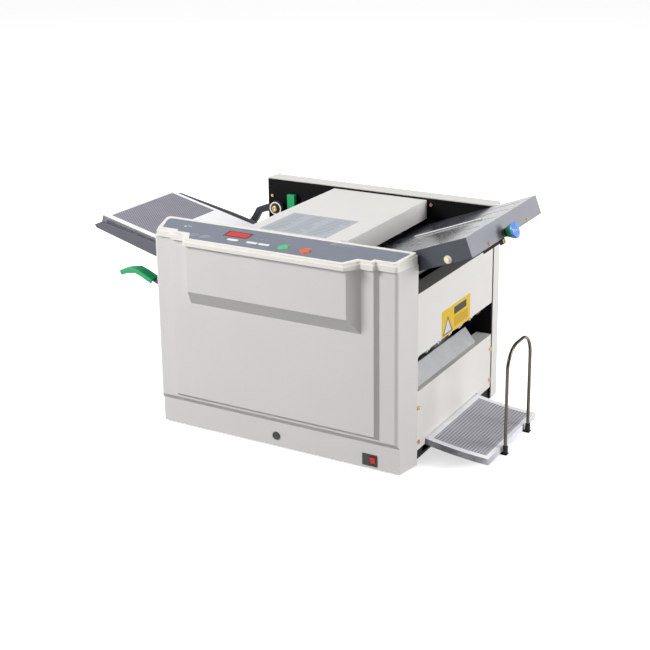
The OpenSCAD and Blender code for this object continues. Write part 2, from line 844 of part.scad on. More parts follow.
module adjust_knob() {
  color([0.15, 0.6, 0.4]) on_plate() translate([0, knob_y, screw_z]) rotate([0, 90, 0]) {
    translate([0, 0, -205]) cylinder(r = screw_r, h = 215);
    translate([0, 0, 2]) cylinder(r = 7, h = 6);
    translate([0, 0, 8]) cylinder(r1 = 7.5, r2 = 12.5, h = 12);
  }
}

module knob_cap() {
  color([0.35, 0.6, 0.92]) on_plate() translate([20, knob_y, screw_z]) rotate([0, 90, 0]) {
    cylinder(r = 13.5, h = 4);
    translate([0, 0, 4]) cylinder(r1 = 13.5, r2 = 10, h = 3);
  }
}

// ---------------------------------------------------------------- delivery

// Height of the folded stack's top, which follows the tray's curve
function folded_z(x) = 25.5 + pow(x - 379.5, 2) / 1513;
stack_x = [203.5, 352];
folded_y = [-122, -122 + sheet_w];

module curved_sheet(x, low, high, steps = 12) {
  run = [for (i = [0:steps]) x[0] + (x[1] - x[0]) * i / steps];
  polygon(concat([for (u = run) [u, folded_z(u) + high]],
    [for (i = [steps:-1:0]) [run[i], folded_z(run[i]) + low]]));
}

module output_stack() {
  color([0.94, 0.94, 0.95]) along_y(folded_y[0], folded_y[1]) curved_sheet(stack_x, -folded_h, 0);
}

module output_tray() {
  color([0.3, 0.3, 0.32]) {
    along_y(-92, 60) curved_sheet([200, tray_end], -folded_h - 1.6, -folded_h - 0.1);
    for (s = [-1, 1]) translate([0, stop_y + s * stop_w / 2, foot_z - 1.5])
      box([tray_end - 12, -5.5, 0], [stop_x + 4.5, 5.5, 1.5]);
    for (y = [-60, 28]) along_y(y - 4, y + 4) polygon([[204, 12], [230, 12],
      [230, folded_z(230) - folded_h - 1.6], [204, folded_z(204) - folded_h - 1.6]]);
  }
}

foot_z = folded_z(stop_x) - folded_h;

module wire_stop() {
  r = wire_d / 2;
  bend = 38;
  top = foot_z + stop_h;
  color([0.16, 0.13, 0.11]) translate([stop_x, stop_y, 0]) {
    for (s = [-1, 1]) {
      translate([0, s * stop_w / 2, foot_z + 4]) cylinder(r = r, h = stop_h - bend - 3);
      translate([0, s * (stop_w / 2 - bend), top - bend]) rotate([90, 0, s > 0 ? 90 : -90])
        rotate_extrude(angle = 90) translate([bend, 0]) circle(r + 0.05, $fn = 24);
    }
    translate([0, bend - stop_w / 2 - 1, top]) rotate([-90, 0, 0])
      cylinder(r = r, h = stop_w - 2 * bend + 2);
  }
}

module stop_feet() {
  color([0.04, 0.04, 0.04]) for (s = [-1, 1])
    translate([stop_x, stop_y + s * stop_w / 2, foot_z + 0.3]) difference() {
      cylinder(r = 4.4, h = 13);
      translate([0, 0, 3.7]) cylinder(r = wire_d / 2, h = 20);
    }
}

front_cover();
console_trim();
console_label();
display_window();
start_button();
stop_button();
key_1();
key_2();
key_3();
control_board();
switch_bezel();
switch_rocker();
fuse_holder();
rear_cover();
power_inlet();
front_frame();
rear_frame();
base_pan();
cross_rods();
feet();
bushes();
left_cover();
upper_side_panel();
lower_side_panel();
safety_label();
panel_screws();
paper_guides();
retard_pad();
lower_fold_plate();
motor();
motor_pulley();
drive_belts();
fold_roller_1();
fold_roller_2();
fold_roller_3();
fold_roller_4();
pickup_roller();
feed_roller();
delivery_roller();
star_wheels();
hood();
hood_label();
feed_tray();
tray_arms();
front_guide();
rear_guide();
feed_stack();
feed_lever();
lever_grip();
release_tab();
upper_fold_plate();
plate_bracket();
plate_screws();
fold_stop();
adjust_knob();
knob_cap();
output_tray();
output_stack();
wire_stop();
stop_feet();
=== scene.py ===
"""Studio scene of a desktop paper folding machine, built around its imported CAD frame."""
import json
import math
import random

import bmesh
import bpy
from mathutils import Matrix, Vector


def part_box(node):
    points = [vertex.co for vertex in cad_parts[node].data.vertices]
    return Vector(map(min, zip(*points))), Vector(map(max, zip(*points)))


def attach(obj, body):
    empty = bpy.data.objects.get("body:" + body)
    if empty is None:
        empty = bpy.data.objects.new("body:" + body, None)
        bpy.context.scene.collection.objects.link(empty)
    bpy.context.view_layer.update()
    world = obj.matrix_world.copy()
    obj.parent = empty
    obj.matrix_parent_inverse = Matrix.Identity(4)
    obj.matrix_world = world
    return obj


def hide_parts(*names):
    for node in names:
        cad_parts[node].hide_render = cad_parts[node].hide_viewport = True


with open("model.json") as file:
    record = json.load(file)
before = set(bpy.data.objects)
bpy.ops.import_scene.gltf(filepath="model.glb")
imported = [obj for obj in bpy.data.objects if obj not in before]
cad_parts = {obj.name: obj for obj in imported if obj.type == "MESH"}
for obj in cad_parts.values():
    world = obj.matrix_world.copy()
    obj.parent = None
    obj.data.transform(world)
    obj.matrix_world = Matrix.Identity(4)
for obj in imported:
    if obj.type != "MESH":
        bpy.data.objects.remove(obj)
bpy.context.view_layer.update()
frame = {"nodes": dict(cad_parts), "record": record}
random.seed(11)
MM = 0.001


# ------------------------------------------------------------------ materials

class Look:
    """A node material under construction, in object coordinates measured in metres."""

    def __init__(self, name, colour, rough=0.5, metal=0.0, coat=0.0, specular=0.5):
        self.mat = bpy.data.materials.new(name)
        self.mat.use_nodes = True
        self.tree = self.mat.node_tree
        self.shader = self.tree.nodes["Principled BSDF"]
        self.shader.inputs["Metallic"].default_value = metal
        self.shader.inputs["Coat Weight"].default_value = coat
        self.shader.inputs["Specular IOR Level"].default_value = specular
        self.shader.inputs["Roughness"].default_value = rough
        self.rough = rough
        self.place = self.node("ShaderNodeTexCoord").outputs["Object"]
        self.colour = self.constant(colour)
        self.height = None

    def node(self, kind, **values):
        made = self.tree.nodes.new(kind)
        for key, value in values.items():
            setattr(made, key, value)
        return made

    def link(self, a, b):
        self.tree.links.new(a, b)

    def constant(self, colour):
        made = self.node("ShaderNodeRGB")
        made.outputs[0].default_value = (*colour[:3], 1)
        return made.outputs[0]

    def stretch(self, scale):
        """Object coordinates, scaled along each axis."""
        made = self.node("ShaderNodeMapping")
        made.inputs["Scale"].default_value = scale
        self.link(self.place, made.inputs["Vector"])
        return made.outputs[0]

    def noise(self, size, detail=3.0, stretch=(1, 1, 1), rough=0.5):
        """Noise whose features are about size metres across."""
        made = self.node("ShaderNodeTexNoise")
        made.inputs["Scale"].default_value = 1 / size
        made.inputs["Detail"].default_value = detail
        made.inputs["Roughness"].default_value = rough
        self.link(self.stretch(stretch), made.inputs["Vector"])
        return made.outputs["Fac"]

    def ramp(self, value, low, high, out_low=0.0, out_high=1.0):
        """Maps low..high to out_low..out_high and holds the ends."""
        made = self.node("ShaderNodeMapRange", clamp=True)
        limits = (("From Min", low), ("From Max", high), ("To Min", out_low), ("To Max", out_high))
        for key, number in limits:
            made.inputs[key].default_value = number
        self.link(value, made.inputs["Value"])
        return made.outputs["Result"]

    def maths(self, operation, a, b):
        """Math node on two values, each a number or a socket."""
        made = self.node("ShaderNodeMath", operation=operation)
        for socket, value in zip(made.inputs, (a, b)):
            if isinstance(value, (int, float)):
                socket.default_value = value
            else:
                self.link(value, socket)
        return made.outputs[0]

    def paint(self, mask, colour):
        """Lays colour over what is there, where mask is 1."""
        made = self.node("ShaderNodeMix", data_type="RGBA")
        self.link(mask, made.inputs["Factor"])
        self.link(self.colour, made.inputs["A"])
        if isinstance(colour, tuple):
            colour = self.constant(colour)
        self.link(colour, made.inputs["B"])
        self.colour = made.outputs["Result"]

    def mottle(self, size, amount):
        """Lightens and darkens the colour by up to amount."""
        value = self.ramp(self.noise(size, 4), 0.3, 0.7, 1 - amount, 1 + amount)
        made = self.node("ShaderNodeMix", data_type="RGBA", blend_type="MULTIPLY")
        made.inputs["Factor"].default_value = 1
        self.link(self.colour, made.inputs["A"])
        self.link(value, made.inputs["B"])
        self.colour = made.outputs["Result"]

    def edges(self, width=0.0008):
        """Mask that is 1 on the object's sharp edges."""
        bevel = self.node("ShaderNodeBevel", samples=4)
        bevel.inputs["Radius"].default_value = width
        flat = self.node("ShaderNodeNewGeometry")
        dot = self.node("ShaderNodeVectorMath", operation="DOT_PRODUCT")
        self.link(bevel.outputs[0], dot.inputs[0])
        self.link(flat.outputs["Normal"], dot.inputs[1])
        return self.ramp(dot.outputs["Value"], 0.995, 0.9)

    def wear(self, colour, amount=0.6, width=0.0008):
        """Paints broken patches of colour along the sharp edges."""
        edges = self.edges(width)
        patches = self.ramp(self.noise(0.006, 5), 0.42, 0.62, 0, amount)
        self.paint(self.maths("MULTIPLY", edges, patches), colour)

    def roughen(self, size, spread):
        """Varies the roughness by up to spread, in patches of about size metres."""
        low, high = max(0.02, self.rough - spread), self.rough + spread
        value = self.ramp(self.noise(size, 4), 0.25, 0.75, low, high)
        self.link(value, self.shader.inputs["Roughness"])

    def raise_by(self, height, depth):
        """Adds height, a 0 to 1 pattern that is depth metres deep, to the bump."""
        scaled = self.maths("MULTIPLY", height, depth)
        self.height = scaled if self.height is None else self.maths("ADD", self.height, scaled)

    def done(self):
        """Joins colour and bump to the shader and returns the material."""
        self.link(self.colour, self.shader.inputs["Base Color"])
        if self.height is not None:
            bump = self.node("ShaderNodeBump")
            bump.inputs["Distance"].default_value = 1.0
            bump.inputs["Strength"].default_value = 1.0
            self.link(self.height, bump.inputs["Height"])
            self.link(bump.outputs[0], self.shader.inputs["Normal"])
        return self.mat


def brighter(colour, gain, lift):
    return tuple(min(1, c * gain + lift) for c in colour)


def moulded(name, colour, rough=0.48, grain=0.0009, depth=0.00003, edge=None, coat=0.0):
    """Injection-moulded plastic with a fine spark-eroded grain."""
    look = Look(name, colour, rough, coat=coat)
    look.mottle(0.09, 0.012)
    look.mottle(0.004, 0.01)
    look.wear(edge or brighter(colour, 1.12, 0.02), 0.35)
    look.roughen(0.03, 0.06)
    look.raise_by(look.noise(grain, 2), depth)
    return look.done()


def painted(name, colour, rough=0.42, orange_peel=0.00002, edge=None, wear=0.3, coat=0.0,
            specular=0.3):
    """Powder-coated sheet steel: orange peel, faint speckle, brighter edges."""
    look = Look(name, colour, rough, coat=coat, specular=specular)
    look.shader.inputs["Coat Roughness"].default_value = 0.12
    look.mottle(0.12, 0.015)
    look.mottle(0.0016, 0.02)
    look.wear(edge or brighter(colour, 1.3, 0.03), wear)
    look.roughen(0.02, 0.07)
    look.raise_by(look.noise(0.0022, 2), orange_peel)
    look.raise_by(look.noise(0.0006, 1), orange_peel * 0.3)
    return look.done()


def metal(name, colour, rough=0.3, stretch=(1, 1, 1), scratch=0.0004, depth=0.000008):
    """Bare metal with a ground or turned grain, drawn out along the axis where stretch is small."""
    look = Look(name, colour, rough, metal=1.0)
    look.mottle(0.02, 0.06)
    grain = look.noise(scratch, 3, stretch)
    shine = look.ramp(grain, 0.3, 0.7, max(0.05, rough - 0.1), rough + 0.12)
    look.link(shine, look.shader.inputs["Roughness"])
    look.raise_by(grain, depth)
    return look.done()


def rubbery(name, colour, rough=0.7, size=0.0006):
    """Matt rubber with paler, scuffed edges."""
    look = Look(name, colour, rough, specular=0.3)
    look.mottle(0.01, 0.08)
    look.wear(brighter(colour, 1.6, 0.02), 0.4)
    look.roughen(0.005, 0.08)
    look.raise_by(look.noise(size, 3), 0.00003)
    return look.done()


def film(name, colour, rough=0.48):
    """Printed polyester overlay: nearly flat, with a soft satin ripple."""
    look = Look(name, colour, rough, specular=0.16)
    look.mottle(0.05, 0.02)
    look.mottle(0.0007, 0.015)
    look.roughen(0.015, 0.05)
    look.raise_by(look.noise(0.012, 2), 0.00003)
    look.raise_by(look.noise(0.0004, 1), 0.000004)
    return look.done()


def glossy(name, colour, rough=0.25, edge=None):
    """Smooth polished plastic with slight flow marks and fine scuffs."""
    look = Look(name, colour, rough, coat=0.06, specular=0.35)
    look.mottle(0.006, 0.05)
    look.wear(edge or brighter(colour, 1.25, 0.05), 0.4, 0.0006)
    look.roughen(0.004, 0.06)
    look.raise_by(look.noise(0.003, 3), 0.00001)
    return look.done()


def paper_edge(name):
    """Edges of a stack of sheets, slightly blue white: fine horizontal layers in the bump, with painted
    shade in bands between them.
    """
    look = Look(name, (0.9, 0.9, 0.94), 0.8, specular=0.2)
    layers = look.noise(0.00035, 2, (0.02, 0.02, 1))
    # painted shade: bluish darker bands where the gaps between sheets lie
    look.paint(look.ramp(layers, 0.42, 0.62, 0.0, 0.3), (0.68, 0.68, 0.76))
    look.mottle(0.03, 0.03)
    look.raise_by(layers, 0.00005)
    return look.done()


WAVE_PERIOD = 2 * math.pi / 20  # metres between the bands of a wave texture whose scale is 1


def printed_sheet(name, pitch, turn, ink, paper):
    """Grey printed panel: a lattice of light dots, pitch metres apart, turned by an angle."""
    look = Look(name, ink, 0.75, specular=0.2)
    turned = look.node("ShaderNodeMapping")
    turned.inputs["Rotation"].default_value = (0, 0, math.radians(turn))
    look.link(look.place, turned.inputs["Vector"])
    wave_a = look.node("ShaderNodeTexWave", wave_type="BANDS", bands_direction="X")
    wave_b = look.node("ShaderNodeTexWave", wave_type="BANDS", bands_direction="Y")
    for wave in (wave_a, wave_b):
        wave.inputs["Scale"].default_value = WAVE_PERIOD / pitch
        wave.inputs["Distortion"].default_value = 0.0
        look.link(turned.outputs[0], wave.inputs["Vector"])
    dots = look.maths("ADD", wave_a.outputs["Fac"], wave_b.outputs["Fac"])
    look.paint(look.ramp(dots, 0.5, 1.5), paper)
    look.mottle(0.02, 0.05)
    look.raise_by(look.noise(0.0005, 3), 0.00001)
    return look.done()


def plain_paper(name):
    """Uncoated office paper with a faint fibre bump."""
    look = Look(name, (0.9, 0.9, 0.93), 0.8, specular=0.2)
    look.mottle(0.004, 0.015)
    look.roughen(0.002, 0.05)
    look.raise_by(look.noise(0.0005, 4), 0.00002)
    return look.done()


def display_glass(name):
    """Red filter over a blank display, with a faint glow of its own."""
    look = Look(name, (0.55, 0.03, 0.025), 0.22, coat=0.2)
    look.mottle(0.008, 0.12)
    look.roughen(0.01, 0.05)
    look.raise_by(look.noise(0.01, 2), 0.00001)
    look.shader.inputs["Emission Color"].default_value = (1.0, 0.05, 0.03, 1)
    look.shader.inputs["Emission Strength"].default_value = 0.12
    return look.done()


LOOKS = {
    "cover": moulded("cover_plastic", (0.66, 0.64, 0.63)),
    "ivory": moulded("ivory_plastic", (0.80, 0.78, 0.73), 0.42, 0.0007, 0.00002),
    "panel": painted("panel_paint", (0.70, 0.68, 0.65)),
    "hood": painted("hood_paint", (0.72, 0.71, 0.69)),
    # painted light: a slightly lighter copy of the hood paint for the hood's walls that face +x
    "hood_side_painted_light": painted("hood_wall_painted_light", (0.74, 0.725, 0.70)),
    "label": film("label_film", (0.205, 0.225, 0.27)),
    "hood_film": film("hood_film", (0.43, 0.46, 0.50)),
    "yellow": film("blank_label_film", (0.72, 0.47, 0.012)),
    "washer": painted("washer_paint", (0.80, 0.79, 0.76), 0.35),
    "ink_white": film("white_ink", (0.6, 0.62, 0.68)),
    "ink_dark": film("dark_ink", (0.03, 0.028, 0.025)),
    "ink_film": film("film_ink", (0.24, 0.26, 0.30)),
    "ink_grey": film("grey_ink", (0.42, 0.44, 0.5)),
    "ink_amber": film("amber_ink", (0.56, 0.33, 0.012)),
    "display": display_glass("display_filter"),
    "display_rim": glossy("display_surround", (0.13, 0.015, 0.02)),
    "green": glossy("green_plastic", (0.012, 0.38, 0.13), 0.32),
    "start_green": glossy("start_plastic", (0.10, 0.52, 0.24), 0.3),
    "stop_red": glossy("stop_plastic", (0.80, 0.13, 0.05), 0.3),
    "white": glossy("white_plastic", (0.82, 0.82, 0.80), 0.4),
    "rocker": glossy("rocker_plastic", (0.55, 0.02, 0.015), 0.25),
    "black_plastic": moulded("black_plastic", (0.02, 0.02, 0.021), 0.45, 0.0006),
    "black_steel": painted("black_powder_coat", (0.004, 0.004, 0.0045), 0.5,
                           edge=(0.05, 0.05, 0.05), specular=0.12),
    # painted shade: the panel paint darkened for the upward flange faces that lie in the fold plate's
    # shadow
    "flange": painted("flange_painted_shade", (0.20, 0.19, 0.175), 0.5, specular=0.2),
    "plate": painted("plate_paint", (0.10, 0.11, 0.135), 0.25, 0.0000007, coat=0.9),
    # painted light: a lighter, matt copy of the plate paint for the outer end wall
    "plate_end_painted_light": painted("plate_end_lit_copy_paint", (0.30, 0.305, 0.34), 0.4),
    "plate_dark": painted("plate_side_paint", (0.07, 0.075, 0.095), 0.38),
    "tray": moulded("tray_plastic", (0.085, 0.087, 0.11), 0.42, 0.0011, 0.00004),
    "rod_dark": metal("blued_steel", (0.10, 0.10, 0.11), 0.35, (1, 0.05, 1)),
    "arm": painted("arm_paint", (0.035, 0.037, 0.05), 0.4),
    "zinc": metal("zinc_steel", (0.62, 0.63, 0.64), 0.38),
    "steel": metal("bright_steel", (0.56, 0.56, 0.58), 0.25, (1, 0.05, 1)),
    "brass": metal("brass", (0.72, 0.50, 0.22), 0.28, (1, 1, 1), 0.0007),
    "bronze": metal("sintered_bronze", (0.55, 0.38, 0.18), 0.45),
    "wire": metal("dark_bronze", (0.10, 0.08, 0.062), 0.14, (1, 1, 0.04)),
    "rubber": rubbery("black_rubber", (0.015, 0.015, 0.016)),
    "roller": rubbery("roller_rubber", (0.03, 0.03, 0.033), 0.6),
    "pad": rubbery("pad_rubber", (0.16, 0.06, 0.035)),
    "board": film("board_green", (0.01, 0.14, 0.05), 0.3),
    "motor": painted("motor_paint", (0.03, 0.033, 0.038), 0.45),
    "blue": glossy("blue_plastic", (0.12, 0.30, 0.78), 0.28),
    "knob_green": glossy("knob_green_plastic", (0.0, 0.20, 0.07), 0.34),
    "paper": plain_paper("paper"),
    "paper_edges": paper_edge("paper_edges"),
    "print_feed": printed_sheet("feed_print", 0.0044, 38, (0.15, 0.15, 0.18), (0.36, 0.36, 0.41)),
    "print_folded": printed_sheet("folded_print", 0.0052, 0, (0.23, 0.23, 0.26), (0.60, 0.60, 0.66)),
}


# ------------------------------------------------------------------ mesh helpers

MERGE = 0.000003                 # metres; vertices closer than this are one
FLAT = math.radians(0.4)         # faces closer than this to one plane are joined
SHARP = math.radians(40)         # edges turning more than this are shaded sharp
BODY_OF = {node: body for body, nodes in frame["record"]["behaviour"]["bodies"].items()
           for node in nodes}


def add_piece(name, mesh, looks, body, bevel=0.0, replaces=(), segments=2, angle=28):
    """Links a mesh as a piece that rides on a CAD body, with bevelled edges and one or more looks."""
    piece = bpy.data.objects.new(name, mesh)
    bpy.context.scene.collection.objects.link(piece)
    for look in ([looks] if isinstance(looks, str) else looks):
        mesh.materials.append(LOOKS[look])
    for face in mesh.polygons:
        face.use_smooth = True
    if bevel:
        edge = piece.modifiers.new("rounded_edges", "BEVEL")
        edge.width = bevel
        edge.segments = segments
        edge.limit_method = "ANGLE"
        edge.angle_limit = math.radians(angle)
        edge.miter_outer = "MITER_ARC"
        edge.use_clamp_overlap = True
    shading = piece.modifiers.new("even_shading", "WEIGHTED_NORMAL")
    shading.keep_sharp = True
    shading.weight = 80
    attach(piece, body)
    if replaces:
        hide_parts(*replaces)
    return piece


def to_mesh(name, bm):
    """Turns a bmesh into a mesh with its faces outwards, and frees it."""
    bmesh.ops.recalc_face_normals(bm, faces=bm.faces)
    mesh = bpy.data.meshes.new(name)
    bm.to_mesh(mesh)
    bm.free()
    return mesh


def cad_copy(node, joined):
    """A CAD node's shape; joined melts its triangles into flat faces, which vent holes don't bear."""
    bm = bmesh.new()
    bm.from_mesh(frame["nodes"][node].data)
    bmesh.ops.remove_doubles(bm, verts=bm.verts, dist=MERGE)
    if joined:
        bmesh.ops.dissolve_limit(bm, angle_limit=FLAT, verts=bm.verts, edges=bm.edges)
    for edge in bm.edges:
        if len(edge.link_faces) == 2 and edge.calc_face_angle(0) > SHARP:
            edge.smooth = False
    return bm


def refined(node, looks, bevel=0.0004, segments=2, rule=None, angle=28, joined=True):
    """Replaces a CAD node with its own shape, edges rounded; rule picks a look for each face centre."""
    bm = cad_copy(node, joined)
    if rule:
        for face in bm.faces:
            face.material_index = rule(face.calc_center_median(), face.normal)
    return add_piece(node + "_skin", to_mesh(node, bm), looks, BODY_OF[node], bevel, [node],
                     segments, angle)


def on_node(name, bm, looks, node, bevel=0.0):
    """Adds a detail that rides with a CAD node's body, in the looks given."""
    return add_piece(name, to_mesh(name, bm), looks, BODY_OF[node], bevel)


def block(bm, low, high, place=None, index=0):
    """Adds a box between two corners, moved by place."""
    low, high = Vector(low), Vector(high)
    size = high - low
    fit = Matrix.Translation((low + high) / 2) @ Matrix.Diagonal((*size, 1))
    made = bmesh.ops.create_cube(bm, size=1, matrix=(place or Matrix.Identity(4)) @ fit)
    for face in {f for v in made["verts"] for f in v.link_faces}:
        face.material_index = index
    return made["verts"]


def lathe(bm, profile, place, steps=64, index=0, wobble=None):
    """Turns (radius, height) points round local z; wobble(angle, radius, height) changes the radius."""
    rings = []
    for radius, height in profile:
        ring = []
        for k in range(steps):
            a = 2 * math.pi * k / steps
            r = wobble(a, radius, height) if wobble else radius
            ring.append(bm.verts.new(place @ Vector((r * math.cos(a), r * math.sin(a), height))))
        rings.append(ring)
    for lower, upper in zip(rings, rings[1:]):
        for k in range(steps):
            face = bm.faces.new((lower[k], lower[(k + 1) % steps], upper[(k + 1) % steps], upper[k]))
            face.material_index = index
    for ring in (rings[0][::-1], rings[-1]):
        bm.faces.new(ring).material_index = index


def bar(bm, start, end, radius, sides=20):
    """Straight round bar between two points, with flat ends."""
    ahead = (end - start).normalized()
    normal = ahead.orthogonal().normalized()
    across = ahead.cross(normal)
    rings = [[bm.verts.new(point + radius * (math.cos(a) * normal + math.sin(a) * across))
              for a in (2 * math.pi * i / sides for i in range(sides))] for point in (start, end)]
    for i in range(sides):
        after = (i + 1) % sides
        bm.faces.new((rings[0][i], rings[0][after], rings[1][after], rings[1][i]))
    bm.faces.new(rings[0][::-1])
    bm.faces.new(rings[1])


def sloped(x, z, degrees):
    """Frame with its origin at (x, 0, z) and local x climbing by degrees."""
    return Matrix.Translation((x, 0, z)) @ Matrix.Rotation(-math.radians(degrees), 4, "Y")


# ------------------------------------------------------------------ covers and frames

refined("front_cover", "cover", 0.0016, 3, angle=12)
refined("console_trim", "ivory", 0.0014, 3, angle=16)
refined("console_label", "label", 0.0002)
refined("rear_cover", "panel", 0.001, 2, joined=False)
# Faces of the upper side panel that face up get the dark look: painted shade from the fold plate above
refined("upper_side_panel", ["panel", "flange"], 0.0004,
        rule=lambda centre, normal: int(normal.z > 0.8))
refined("lower_side_panel", "panel", 0.0004)
refined("left_cover", "panel", 0.0004)
refined("front_frame", "black_steel", 0.0003)
refined("rear_frame", "black_steel", 0.0003)
refined("base_pan", "black_steel", 0.0003)
# The hood's faces turned to +x get the lighter copy of its paint: painted light, not a second paint
refined("hood", ["hood", "hood_side_painted_light"], 0.0007,
        rule=lambda centre, normal: int(normal.x > 0.7))
refined("switch_bezel", "black_plastic", 0.0005)
refined("switch_rocker", "rocker", 0.0006)
refined("fuse_holder", "black_plastic", 0.0006)
refined("power_inlet", "black_plastic", 0.0005)
refined("feet", "rubber", 0.0012)
refined("panel_screws", "brass", 0.0005)
refined("paper_guides", "zinc", 0.0003)
refined("cross_rods", "rod_dark", 0.0006)
refined("bushes", "bronze", 0.0004)
refined("retard_pad", "pad", 0.0006)
refined("control_board", "board", 0.0002)
refined("motor", "motor", 0.0012)
refined("drive_belts", "rubber", 0.0003)
refined("output_tray", "black_steel", 0.0004)
refined("plate_bracket", "black_steel", 0.0004)
refined("fold_stop", "zinc", 0.0005)
refined("release_tab", "green", 0.0016, 3)
refined("lever_grip", "green", 0.0018, 3)
refined("feed_lever", "zinc", 0.0006)
refined("tray_arms", "arm", 0.0014, 3)
refined("front_guide", "tray", 0.0007)
refined("rear_guide", "tray", 0.0007)
refined("feed_tray", "tray", 0.0012, 3)
refined("lower_fold_plate", "plate", 0.0004, joined=False)


SHAFT_R = 0.0061  # a hair over the shafts' 6 mm radius


def along_axis(node):
    """Rule for a shaft node: look 0 on the shaft, 1 on whatever is thicker."""
    low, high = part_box(node)
    x, z = (low.x + high.x) / 2, (low.z + high.z) / 2
    return lambda centre, normal: int(math.hypot(centre.x - x, centre.z - z) > SHAFT_R)


for roller in ("fold_roller_1", "fold_roller_2", "fold_roller_3", "fold_roller_4",
               "pickup_roller", "feed_roller", "delivery_roller"):
    refined(roller, ["steel", "roller"], 0.0004, rule=along_axis(roller))
refined("star_wheels", ["steel", "white"], 0.0003, rule=along_axis("star_wheels"))
refined("motor_pulley", "zinc", 0.0004)

PLATE_SLOPE = 21
PLATE_DEPTH = 0.033
plate_low, plate_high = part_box("upper_fold_plate")
plate_lean = PLATE_DEPTH * math.sin(math.radians(PLATE_SLOPE))
plate_frame = sloped(plate_high.x - plate_lean, plate_high.z, PLATE_SLOPE)


def plate_side(centre, normal):
    """Look 1 on the front wall, 2 on the outer end and 0 on the rest; look 2 is a lighter copy of the
    plate paint, painted light on the end that faces outwards.
    """
    if normal.y < -0.7 and centre.y < 0:
        return 1
    return 2 if (plate_frame.inverted().to_3x3() @ normal).x > 0.7 else 0


refined("upper_fold_plate", ["plate", "plate_dark", "plate_end_painted_light"], 0.0007, rule=plate_side)

for button, colour in (("start_button", "start_green"), ("stop_button", "stop_red"),
                       ("key_1", "white"), ("key_2", "white"), ("key_3", "white")):
    refined(button, colour, 0.0007, 3)
refined("display_window", "display", 0.0004)
refined("safety_label", "yellow", 0.0)
refined("hood_label", "hood_film", 0.0)
refined("wire_stop", "wire", 0.0)
refined("stop_feet", "rubber", 0.0008)


def wall_washer(centre, normal):
    """Look 1 on the broad washer that stands on the fold plate's front wall."""
    return int(plate_low.y - 1.6 * MM < centre.y < plate_low.y + 1 * MM)


refined("plate_screws", ["brass", "washer"], 0.0004, rule=wall_washer)


# ------------------------------------------------------------------ console details

CONSOLE_TILT = math.radians(5.8)
CONSOLE_FRONT_Y, CONSOLE_FRONT_Z = -240 * MM, 356.5 * MM


def on_deck(x, y):
    """Frame on the console label at a point in millimetres, z along its normal."""
    x, y = x * MM, y * MM
    z = CONSOLE_FRONT_Z + (y - CONSOLE_FRONT_Y) * math.tan(CONSOLE_TILT)
    return Matrix.Translation((x, y, z)) @ Matrix.Rotation(CONSOLE_TILT, 4, "X")


def strokes(name, look, marks, place, node, height=0.06):
    """Thin printed bars, each (x0, y0, x1, y1, width) in millimetres, on a node's surface."""
    bm = bmesh.new()
    for x0, y0, x1, y1, width in marks:
        run = Vector((x1 - x0, y1 - y0, 0))
        start = Matrix.Translation((x0 * MM, y0 * MM, 0))
        turn = Matrix.Rotation(math.atan2(run.y, run.x), 4, "Z")
        block(bm, (0, -width / 2 * MM, 0), (run.length * MM, width / 2 * MM, height * MM),
              place @ start @ turn)
    on_node(name, bm, look, node)


def sheet_icon(x, y, size, folds):
    """Outline of a folded sheet seen at a slant, as strokes."""
    outline, crease = 1.1, 1.0
    deep, lean = size * 0.7, size * 0.35
    corners = [(x, y), (x + size, y), (x + size + lean, y + deep), (x + lean, y + deep)]
    marks = [(*a, *b, outline) for a, b in zip(corners, corners[1:] + corners[:1])]
    for k in range(1, folds + 1):
        foot = x + size * (k / (folds + 1))
        marks.append((foot, y, foot + lean, y + deep, crease))
    return marks


LABEL_PLANE = on_deck(0, -205) @ Matrix.Translation((0, 205 * MM, 0))


def console_details():
    """Icons, captions and emblem printed on the console, and the display's surround."""
    icons = sheet_icon(-154, -219, 13, 1) + sheet_icon(-130, -219, 13, 2)
    icons += [(-176, -221, -164, -221, 1), (-176, -216, -168, -216, 0.8),
              (-112, -220, -104, -212, 0.8)]
    icons += sheet_icon(92, -172, 9, 1) + sheet_icon(108, -172, 9, 0) + sheet_icon(98, -158, 9, 2)
    icons += [(122, -170, 132, -170, 0.8), (122, -164, 130, -164, 0.8)]
    strokes("console_icons", "ink_grey", icons, LABEL_PLANE, "console_label")

    emblem = bmesh.new()
    lathe(emblem, [(2.6 * MM, 0), (2.6 * MM, 0.05 * MM), (2.2 * MM, 0.08 * MM)],
          on_deck(-180, -186), 32)
    block(emblem, (0, -0.9 * MM, 0), (9 * MM, 0.9 * MM, 0.07 * MM), on_deck(-178, -183))
    on_node("console_emblem", emblem, "ink_white", "console_label")

    captions = [(x - 5, -220.5, x + 5, -220.5, 0.9) for x in (-68, -31, -8)]
    captions += [(23, -199, 33, -199, 1), (64, -199.5, 74, -199.5, 1)]
    captions += [(x, -192, x + 6, -192, 0.8) for x in (-38, -28, -18)]
    strokes("console_captions", "ink_grey", captions, LABEL_PLANE, "console_label")

    wide, deep, lip, proud = 21 * MM, 9 * MM, 2.2 * MM, 0.35 * MM
    rim = bmesh.new()
    for low, high in (((-wide - lip, -deep - lip), (wide + lip, -deep)),
                      ((-wide - lip, deep), (wide + lip, deep + lip)),
                      ((-wide - lip, -deep), (-wide, deep)),
                      ((wide, -deep), (wide + lip, deep))):
        block(rim, (*low, 0), (*high, proud), on_deck(-72, -189))
    on_node("display_surround", rim, "display_rim", "console_label", 0.0001)


console_details()


# ------------------------------------------------------------------ knob and plate details

KNOB_Y, KNOB_Z = -22 * MM, -26 * MM            # in the plate's frame
KNOB_RIBS, RIB_DEPTH, RIBBED_FROM = 18, 0.035, 7.2 * MM
THREAD_R, THREAD_CUT, THREAD_LENGTH = 4 * MM, 0.35 * MM, 205
WASHER_SCREW_X, WASHER_SCREW_Z = -41 * MM, -26 * MM


